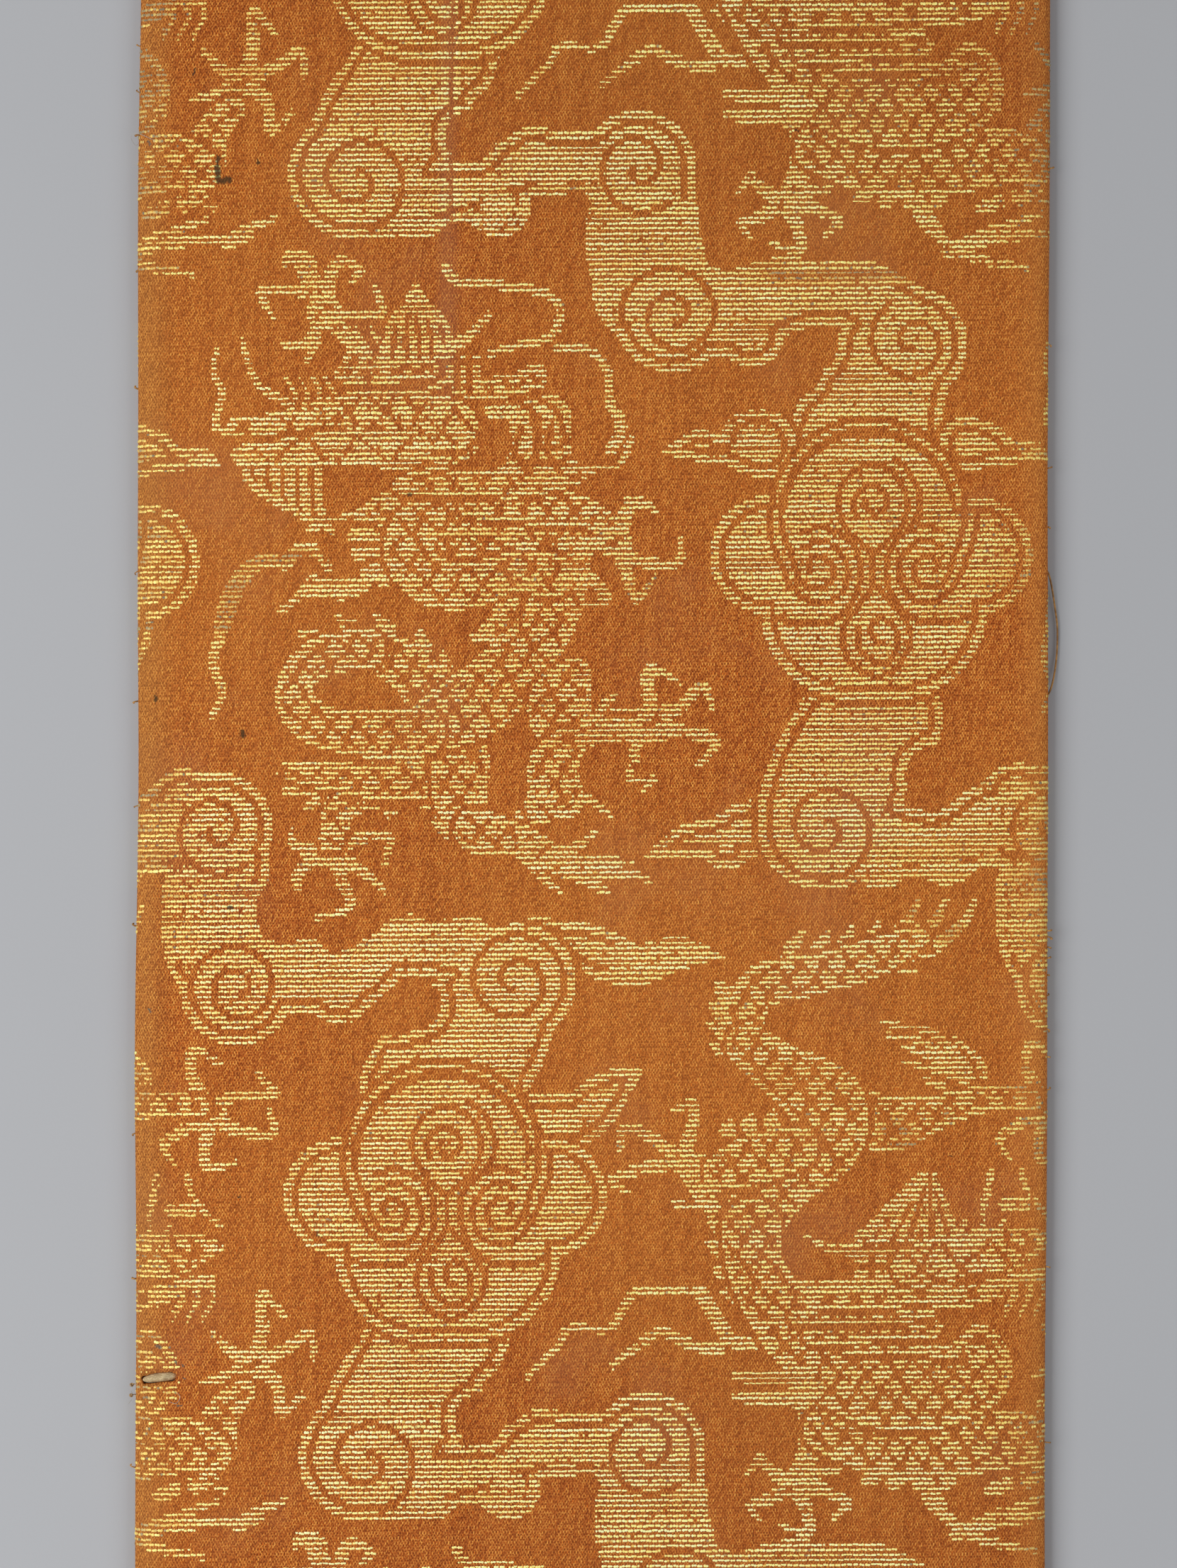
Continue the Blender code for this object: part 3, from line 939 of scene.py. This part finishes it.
# The second dragon: its ribbons and claws, then its tail and body
strand(
    [(-9.6, -82.4), (-5.4, -78), (-3.6, -75.6), (2, -75.6), (4.4, -71.6), (7, -70.4), (14.6, -70.6)], 0.5,
    0.8,
)
strand([(14.6, -70.6), (16.6, -74), (19, -77.6), (24, -78)], 1.1, 0.9)
strand([(2, -81), (6, -78), (9, -76.2), (13, -78), (17, -78.6)], 0.5, 1.1)
claw(
    (12, -52.4),
    [
        [(13.4, -48), (13.6, -44.6), (10.8, -45.6)], [(8, -49.4), (4.2, -47.6), (3.4, -51)],
        [(7, -53.4), (2.4, -55), (4.4, -56.8)], [(14.2, -57), (14, -58.8), (10.8, -58.4)],
    ],
    2,
)
strand([(12, -53), (20, -54)], 1.6, 2)
claw(
    (63, -45.4),
    [
        [(60.4, -41), (60.4, -36.4), (64, -38.4)], [(66, -43), (71.6, -43), (69.4, -40)],
        [(66, -47.6), (71.4, -48.4), (70.8, -45)], [(62, -49), (62, -53), (66, -52.2)],
        [(59, -47.6), (56, -49.8), (57.6, -52.6)],
    ],
    2,
)
for root, mid, tip in (
    ((52, -40), (47, -35), (40, -33.6)), ((52, -41), (46, -36.4), (40.6, -35.2)),
    ((52, -42), (47, -38.6), (43, -36.8)), ((53, -42.6), (49, -40.6), (43, -39)),
    ((54, -42), (53.4, -39), (50, -35.6)), ((54, -43), (48, -42.4), (45.6, -41)),
):
    strand([root, mid, tip], 0.8, 0.4)
whip = [
    (45, -21.6, 1.6), (39, -24.4, 2.8), (31, -26.8, 2.9), (24, -28, 3.2), (20.8, -32, 3),
    (21.4, -36.6, 3.2),
]
rise = [
    (21.4, -36.6, 3.2), (26.4, -40.4, 4.0), (32, -44.4, 5.2), (32, -49.4, 5.4), (26, -54.6, 5.0),
    (21.6, -61.4, 4.2),
]
coil = [
    (21.6, -62, 4.2), (22.4, -68, 4), (26, -74, 4.6), (31, -79, 5.6), (38, -83.6, 5.8), (46, -84.6, 5.6),
    (52, -83, 5),
]
scaled([(36, -47, 4.2), (42, -47.4, 3.8), (48, -45.8, 2.4), (55, -44, 1.9), (61, -44.4, 1.6)])
for x, y in ((45, -16.6), (49, -16.4), (53, -16.6)):
    strand([(x - 5, y - 6), (x - 1.6, y - 3), (x, y)], 1.1, 0.5)
strand([(40, -24), (47, -24.4)], 1.4, 0.4)
strand([(38, -26), (44.6, -26.6)], 1.2, 0.4)
fins([(41, -22.6, 1), (33, -24.6, 1.6), (24, -25, 2)], -1, 3.9, 3, 0.6)
scaled(whip)
fins([(19, -28, 0.6), (18, -32, 0.6), (18.4, -37, 0.6)], -1, 2.6, 1.8, 0.6)
scaled(rise)
scaled([(28, -50.6, 3), (22, -52.4, 3.6), (17.6, -54, 2.6)])
fins([(26, -47.6, 0.6), (18, -49, 0.6)], -1, 3, 1.6, 0.4)
fins([(17, -55, 0.6), (16.6, -60, 0.6)], -1, 2.6, 1.4, 0.4)
fins([(17.8, -60, 0.6), (18, -66, 0.6), (20, -71, 0.6)], -1, 3.2, 2, 0.6)

# Its coils, its legs and claws below
for root, mid, tip in (
    ((45, -97), (48, -102), (56, -106.4)), ((46, -98), (51, -104.4), (61, -107)),
    ((50, -104.6), (56, -101.8), (63, -99.4)), ((54, -103), (60, -102.4), (69, -102)),
    ((66, -102.6), (69, -100.6), (72.6, -99.2)), ((55, -98.6), (59, -97), (64, -97.8)),
):
    strand([root, mid, tip], 1.1, 0.5)
claw(
    (68, -80.4),
    [
        [(69.4, -75), (69.4, -70.4), (72.4, -73.6)], [(65, -78.4), (62.4, -76)],
        [(73, -78), (76, -76.2), (76.6, -79.6)], [(71.4, -83), (72, -87.2), (75, -84.6)],
        [(64, -82), (61, -82.8)],
    ],
    2.2,
)
scaled([(66.6, -84, 1.8), (63.4, -88, 2.6), (62.6, -93, 2.8), (60, -97, 1.4)])
claw(
    (27.4, -97.6),
    [
        [(24, -95.6), (22.6, -93.8), (21, -96)], [(31, -96), (35, -95.4)],
        [(32, -98.6), (34.8, -100.4), (32.8, -102.2)], [(24, -99.6), (21.2, -100.4), (22.6, -102.6)],
        [(29, -101), (29.4, -104.4), (25.6, -103.4)],
    ],
    1.8,
)
strand([(30, -88), (29.4, -93), (27.4, -97)], 2.2, 1.2)
scaled([(32, -90, 3.4), (40, -92, 4.6), (50, -92.2, 4.4), (58, -91.4, 4), (62, -92.6, 3)])
fins([(37, -95.4, 0.8), (44, -96.4, 0.8), (52, -96, 0.8)], -1, 3.4, 1.8, 0.9)
scaled(coil)
for y in (-82.6, -85.4):
    strand([(29, y - 0.2), (24, y - 0.3), (19.4, y)], 1.5, 0.7)
strand([(30, -81.6), (26.4, -81.2)], 0.8, 0.4)

# Its head and mane, which face the other way
strand([(36, -70.6), (28, -74), (22, -75.4)], 0.75, 0.4)
scaled([(50, -79.4, 0.8), (43, -78.6, 1.2), (35, -78.4, 1.2)], 3.2)
scaled([(47, -76, 1.2), (39, -76.4, 1.4), (30, -77, 1.2)], 3.4)
scaled([(46, -73.6, 1.3), (37, -74, 1.5), (28, -74.4, 1.2)], 3.4)
scaled([(45, -71.4, 1.3), (37, -71.8, 1.5), (29, -71.8, 1.1)], 3.4)
strand([(44, -69.6), (34, -69.5), (25.6, -70)], 0.8, 0.5)
scaled([(43.6, -67.4, 2.6), (49, -67, 4), (55, -65.6, 3.6), (60.6, -64.2, 2), (63.4, -64, 0.8)], 6.4)
scaled([(47.6, -71.4, 1.8), (53, -70.8, 2), (57, -69.8, 1.3)], 8, 0.3)
band([(58, -68.8, 1.2), (62, -68.4, 1)])
bare([(50, -69.8), (56, -68.6), (63, -67)])
bare([(57, -62.6), (57.6, -64.4), (60.6, -65.4)])
for x in (57.6, 59.8, 62):
    strand([(x, -68.4), (x + 0.6, -71), (x - 0.8, -74)], 0.6, 0.4)
for x in (36.6, 38.5, 40.4, 42.3, 44.2, 46.1, 48, 50):
    strand([(x, -63.4), (0.15 * x + 39.5, -54.6)], 0.74, 0.36)
for x, y in ((38.6, -60.6), (41.4, -58.6), (43.8, -56.8), (46.6, -54.8), (49, -57.6)):
    strand([(x, -63.4), (x + (46.4 - x) * (y + 63.4) / 9.8, y)], 0.32, 0.26, False)
for x in (51.4, 54, 56.6):
    strand([(x - 1, -63.4), (x, -61)], 0.6, 0.4)
strand([(36.6, -65.2), (32.6, -64.8), (29, -63)], 0.9, 0.4)
strand([(44, -65), (35.4, -65.2)], 0.5, 0.4)
for y in (-66.2, -66.9, -67.7, -68.5):
    strand([(40.4, y), (36, y)], 0.36, 0.36)
bare([(38.2, -65.8), (38.2, -69)])
for x, y in ((36.4, -62.6), (38.6, -60.8)):
    strand([(x + 2.4, y - 1.2), (x, y)], 0.7, 0.4)
strand([(55, -54), (54.4, -57), (53.6, -60)], 0.6, 0.5)
strand([(59.2, -54), (60, -57), (62, -59.4), (63.8, -60.8)], 0.6, 0.5)
band([(57, -58.8, 1), (59.4, -59, 1)])
strand([(50.4, -78), (53, -76.2), (55.6, -77.4), (57, -80.4), (56.8, -84.4)], 0.7, 0.8)


# The gilt wefts. Each is a narrow strip of gilt paper, laid in across the silk and held down by a fine
# tie warp at every cell of the chart, harder at every second one. Between ties the strip stands up a
# little, and its gold is rubbed to beige, grey and olive. Where the chart is bare the strip would be on
# the back, so none is made.
half_rows = int((flat_length / 2 + 2) / gilt_pitch)
half_columns = int((flat_width / 2 + 2) / warp_pitch)
row, column = np.meshgrid(
    np.arange(-half_rows, half_rows), np.arange(-half_columns, half_columns), indexing="ij"
)
gold = chart[row % chart_rows, column % chart_columns]


def from_chart(x, y):
    """A chart place turned with the weave onto the flat cloth."""
    return (
        x * math.cos(weave_turn) - y * math.sin(weave_turn),
        y * math.cos(weave_turn) + x * math.sin(weave_turn),
    )


centre_x, centre_y = (column + 0.5) * warp_pitch, (row + 0.5) * gilt_pitch
centre_u, centre_v = from_chart(centre_x, centre_y)
over_u, over_v = np.abs(centre_u) - across_flat, np.abs(centre_v) - along_flat
inside = np.maximum(over_u, over_v) < hem_edge - 0.4
mitred = (np.maximum(over_u, over_v) > 3.0) & (np.abs(over_u - over_v) < 0.9)
slit_along = (centre_u - slit_x) * math.cos(slit_turn) + (centre_v - slit_y) * math.sin(slit_turn)
slit_aside = (centre_v - slit_y) * math.cos(slit_turn) - (centre_u - slit_x) * math.sin(slit_turn)
in_slit = (np.abs(slit_along) < slit_length / 2 + 0.35) & (np.abs(slit_aside) < slit_width / 2 + 0.25)

chance = np.random.default_rng(7)
shape = row.shape
near_side = np.clip(1 - (width / 2 - np.abs(centre_u)) / 10, 0, 1) * 1.15
near_top = np.clip(centre_v / 30 - 2.4, 0, 1) * np.clip(np.abs(centre_u - 2) / 25 - 0.8, 0, 1)
rubbed = drift(centre_u, centre_v, 13, 4) * 0.5 + drift(centre_u, centre_v, 4, 5) * 0.35
lost = chance.random(shape) < 0.012 + 0.10 * near_side * (drift(centre_u, centre_v, 2.5, 6) > 0.1)
gold = gold & inside & ~mitred & ~in_slit & ~lost

# Places where the gilt has gone dull, each along a short line with a half-width
dulled = np.zeros(shape)
for x0, y0, x1, y1, reach in (
    (-51.4, 21.0, -47.6, 30.6, 2.2), (-46.4, 31.4, -40.0, 31.6, 1.2), (25.0, 70.6, 45.0, 70.8, 0.9),
    (42.0, -48.0, 45.0, -52.0, 2.0), (44.0, -17.0, 52.0, -22.0, 2.0),
):
    run_x, run_y = x1 - x0, y1 - y0
    share = np.clip(((centre_u - x0) * run_x + (centre_v - y0) * run_y) / (run_x**2 + run_y**2), 0, 1)
    away = np.hypot(centre_u - x0 - share * run_x, centre_v - y0 - share * run_y)
    dulled = np.maximum(dulled, np.clip(1.5 - away / reach, 0, 1))

# Each row has its own strip: its width, its height in the row, its brightness, and where it has curled to
# a thread
row_chance = np.random.default_rng(11).normal(0, 1, (3, chart_rows * 4))
strip_width = 0.38 + 0.03 * row_chance[0][row + half_rows] + 0.04 * drift(centre_x, centre_y * 7, 9, 8)
curled = np.clip(drift(centre_x, centre_y * 11, 12, 9) * 3 - 1.7, 0, 1)
strip_width = np.clip(strip_width * (1 - 0.45 * curled), 0.16, 0.56)
strip_shift = (
    0.03 * row_chance[1][row + half_rows]
    + 0.08 * drift(centre_x, centre_y, 34, 10)
    + 0.02 * drift(centre_x, centre_y * 13, 4, 12)
)
tone = (
    0.77
    + 0.06 * row_chance[2][row + half_rows]
    + 0.07 * chance.normal(0, 1, shape)
    + 0.12 * drift(centre_x, centre_y * 9, 5, 13)
    - 0.16 * rubbed
    - 0.36 * near_side
    - 0.24 * near_top
    - 0.38 * dulled
)
tone = tone - 0.45 * (chance.random(shape) < 0.03)
run_end = gold & ~(np.roll(gold, 1, axis=1) & np.roll(gold, -1, axis=1))
tone = np.clip(tone - 0.04 * run_end, 0, 1)

# How high the strip is over each tie, at the left of its cell: under the ground's face at every second tie
strong = (column + row) % 2 == 0
strong_height, weak_height, end_height, crown_height, uneven = -0.008, 0.030, -0.02, 0.058, 0.008
tie_height = np.where(strong, strong_height, weak_height) + uneven * chance.normal(0, 1, shape)
left_height = np.where(np.roll(gold, 1, axis=1), tie_height, end_height)
right_height = np.where(np.roll(gold, -1, axis=1), np.roll(tie_height, -1, axis=1), end_height)
crown = crown_height + uneven * chance.normal(0, 1, shape)
tilt = 0.03 * chance.normal(0, 1, shape)

picked = np.flatnonzero(gold)
at_x, at_y = centre_x.flat[picked], (centre_y + strip_shift).flat[picked]
half_strip = strip_width.flat[picked] / 2
step_along = np.array([-0.5, 0.0, 0.5]) * warp_pitch
step_across = np.array([-1.0, 0.0, 1.0])
point_x = at_x[:, None, None] + step_along[None, None, :] + 0 * step_across[None, :, None]
point_y = at_y[:, None, None] + step_across[None, :, None] * half_strip[:, None, None] + 0 * point_x
crest = np.stack([left_height.flat[picked], crown.flat[picked], right_height.flat[picked]], axis=-1)
edge_drop = np.array([0.055, 0.0, 0.055])
leaning = tilt.flat[picked][:, None, None] * step_across[None, :, None]
lift = crest[:, None, :] - edge_drop[None, :, None] + leaning
weft_u, weft_v = from_chart(point_x.ravel(), point_y.ravel())
weft_points = lay(weft_u, weft_v, lift.ravel())
weft_place = np.stack([weft_u, weft_v], axis=-1)
weft_tone = np.repeat(tone.flat[picked], 9)

gilt_finish, gilt_shader, gilt_place = new_finish("gilt_paper", 0.5, Specular_IOR_Level=0.3)
wear_and_highlight = gilt_place.add("ShaderNodeAttribute", {"attribute_name": "tone"}, output=2)
fleck = gilt_place.noise(5200.0, 2.0) - 0.5
# The ramp runs from rubbed grey-beige and olive through gold to a near-white pale yellow at the top: the
# palest stops are partly a painted highlight on the brightest floats.
stops = [
    (0.00, (0.23, 0.180, 0.100)),
    (0.20, (0.44, 0.33, 0.15)),
    (0.42, (0.88, 0.60, 0.13)),
    (0.66, (1.00, 0.90, 0.28)),
    (1.00, (1.00, 1.00, 0.50)),
]
colour = gilt_place.add("ShaderNodeValToRGB", {"stops": stops}, Fac=wear_and_highlight + fleck * 0.3)
feed(gilt_shader, "Base Color", soiled(gilt_place, colour, 0.95))
feed(gilt_shader, "Metallic", wear_and_highlight.step(0.15, 0.8) * 0.15)
feed(gilt_shader, "Roughness", 0.55 - wear_and_highlight * 0.2)

bands = 5
order = np.argsort(centre_y.flat[picked], kind="stable")
for number, share in enumerate(np.array_split(order, bands), start=1):
    own = (share[:, None] * 9 + np.arange(9)).ravel()
    cell_faces = grid_faces(3, 3)
    faces = (np.arange(len(share))[:, None, None] * 9 + cell_faces[None]).reshape(-1, 4)
    name = f"gilt_wefts_{number}"
    piece = new_piece(name, weft_points[own], faces, gilt_finish, weft_place[own], tone=weft_tone[own])
    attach(piece, "root")


# The paper in the slit. The board's top sheets have lifted and felted up into a soft beige roll that
# fills the slit but for a dark notch at its left end; it is pasted to the rest of the board below it.
roll_length, roll_width = 4.95, 1.5
roll_x, roll_y = slit_x + 0.10, slit_y
steps, sides = 44, 20
share = np.linspace(0, 1, steps)[:, None]
round_it = np.linspace(-0.15 * np.pi, 1.15 * np.pi, sides)[None, :]
fullness = np.sqrt(np.clip(1 - np.abs(2 * share - 1) ** 2.6, 0, 1)) * (0.80 + 0.24 * share)
lump = 1 + 0.06 * drift(share * 9, round_it * 1.4, 1.0, 21) + 0.03 * drift(share * 30, round_it * 5, 1.0, 22)
along = (share - 0.5) * roll_length + 0 * round_it
aside = -roll_width / 2 * fullness * np.cos(round_it) * lump + 0.10 * np.sin(np.pi * share)
level = 2.72 + (0.98 * fullness * lump) * np.sin(round_it)
roll_points = np.stack(
    [
        roll_x + along * math.cos(slit_turn) - aside * math.sin(slit_turn),
        roll_y + along * math.sin(slit_turn) + aside * math.cos(slit_turn),
        level,
    ],
    axis=-1,
).reshape(-1, 3)
felt_finish, felt_shader, felt_place = new_finish("felted_paper", 0.95, Specular_IOR_Level=0.1)
lengthways = felt_place.stretched((2200, 6800, 3000), -0.5)
hairs = lengthways.noise(1.0, 4.0, Distortion=1.2).step(0.36, 0.62)
dirt = felt_place.noise(900.0, 3.0).step(0.45, 0.75)
colour = hairs.mixed((0.42, 0.290, 0.145, 1), (0.66, 0.510, 0.290, 1))
feed(felt_shader, "Base Color", (dirt * 0.35).mixed(colour, (0.24, 0.17, 0.10, 1)))
feed(felt_shader, "Normal", felt_place.add("ShaderNodeBump", Height=hairs, Strength=0.6, Distance=0.00006))
felt = new_piece("felted_paper_roll", roll_points, grid_faces(steps, sides)[:, ::-1], felt_finish)
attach(felt, "root")


# Loose and frayed threads. One orange warp thread has sprung out of the right side in a long bow, and
# short ends of silk curl out of the turned sides where the wefts were cut; two of them by the slit are
# knotted and soiled.
def tube(marks, thickness, sides=6):
    """Points and faces of a round thread along a smooth curve through marks of (x, y, z), thinner at
    both ends.

    Each ring lies square to the curve: its two axes are the curve's direction crossed with the
    vertical, and crossed with that again.
    """
    path = curve(marks, 8)
    forward = np.gradient(path, axis=0)
    forward /= np.linalg.norm(forward, axis=1)[:, None]
    level = np.cross(forward, (0.02, 0.01, 1.0))
    level /= np.linalg.norm(level, axis=1)[:, None]
    other = np.cross(forward, level)
    share = np.linspace(0, 1, len(path))
    radius = thickness / 2 * np.clip(np.minimum(share, 1 - share) * 9 + 0.35, 0, 1)
    turn = np.linspace(0, 2 * np.pi, sides, endpoint=False)[None, :, None]
    ring = np.cos(turn) * level[:, None] + np.sin(turn) * other[:, None]
    points = path[:, None] + radius[:, None, None] * ring
    first = np.arange(len(path) - 1)[:, None] * sides
    number = np.arange(sides)[None]
    after = (number + 1) % sides
    faces = np.stack([first + number, first + number + sides, first + after + sides, first + after], axis=-1)
    return points.reshape(-1, 3), faces.reshape(-1, 4)


def threads(name, tubes, finish):
    """One piece made of several tubes."""
    counts = np.cumsum([0] + [len(points) for points, faces in tubes])
    points = np.concatenate([points for points, faces in tubes])
    faces = np.concatenate([faces + count for (own, faces), count in zip(tubes, counts)])
    made = new_piece(name, points, faces, finish)
    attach(made, "root")


def thread_finish(name, roughness, shine, mottle, dark, pale):
    """A finish between a dark and a pale colour. mottle is its noise's (scale, detail)."""
    made, shader, place = new_finish(name, roughness, Specular_IOR_Level=shine)
    feed(shader, "Base Color", place.noise(*mottle).step(0.35, 0.65).mixed(dark, pale))
    return made


sprung = thread_finish(
    "orange_silk_thread", 0.6, 0.3, (1500.0, 2.0), (0.25, 0.120, 0.035, 1), (0.50, 0.26, 0.08, 1)
)
bow = [
    (63.3, 30.2, 1.6), (63.9, 28.6, 1.0), (64.5, 25.4, 0.6), (64.95, 21.8, 0.45),
    (64.8, 17.6, 0.5), (64.2, 14.2, 0.9), (63.4, 12.2, 1.4),
]
fray = [tube(bow, 0.26)]
thread_root = 63.35
frayed = np.random.default_rng(31)
right_ends = (
    86.0, 61.5, 44.2, 36.1, -20.3, -21.0, -22.5, -24.1, -26.4, -29.4, -33.8, -37.8, -42.5, -67.0, -91.5
)
left_ends = (102.6, 96.1, 90.2, 71.5, 54.8, 29.6, 11.4, -3.2, -20.1, -48.8, -69.2, -95.5)
for side, places_along in ((1, right_ends), (-1, left_ends)):
    for y in places_along:
        x = side * thread_root
        out, rise, lean = frayed.uniform(0.35, 0.75), frayed.uniform(0.1, 0.5), frayed.uniform(-0.45, 0.45)
        z = frayed.uniform(1.5, 2.3)
        fray.append(
            tube(
                [(x - side * 0.2, y, z), (x + side * out * 0.6, y + lean * 0.5, z + rise),
                 (x + side * out, y + lean, z + rise * 0.5), (x + side * out * 0.75, y + lean * 1.5, z)],
                frayed.uniform(0.16, 0.26),
            )
        )
threads("frayed_threads", fray, sprung)

dirty = thread_finish(
    "soiled_silk_ends", 0.8, 0.2, (3000.0, 2.0), (0.20, 0.12, 0.06, 1), (0.46, 0.30, 0.15, 1)
)
knots = []
for x, y, z in ((-63.9, -83.9, 2.3), (-64.0, -85.4, 2.1)):
    for start in (0.0, 2.2, 4.1):
        turns = start + np.linspace(0, 5.5, 7)
        reach = np.linspace(0.24, 0.08, 7)
        wound = [x + reach * np.cos(turns), y + reach * np.sin(turns), z + 0.12 * np.sin(2 * turns)]
        knots.append(tube(np.stack(wound, axis=-1), 0.17))
    knots.append(tube([(x, y, z), (x + 0.4, y + 0.1, z), (x + 0.9, y + 0.1, z + 0.1)], 0.15))
threads("soiled_ends", knots, dirty)

hairy = thread_finish("pale_fibres", 0.7, 0.2, (800.0, 1.0), (0.34, 0.31, 0.27, 1), (0.58, 0.54, 0.48, 1))
threads(
    "pale_fibres",
    [
        tube([(-63.9, -84.1, 2.3), (-64.1, -84.8, 1.7), (-63.9, -85.3, 1.3)], 0.05),
        tube([(-63.9, -85.6, 2.1), (-64.1, -86.2, 1.4), (-64.6, -86.9, 0.8)], 0.05),
        tube(
            [
                (-61.0, 89.2, 3.75), (-63.6, 90.4, 2.6), (-64.6, 90.0, 2.0), (-64.0, 88.9, 1.7),
                (-63.4, 89.3, 1.8),
            ],
            0.05,
        ),
        tube([(-57.6, -84.6, 3.9), (-57.0, -85.3, 3.9), (-57.5, -86.2, 3.9), (-58.6, -86.0, 3.9)], 0.05),
    ],
    hairy,
)
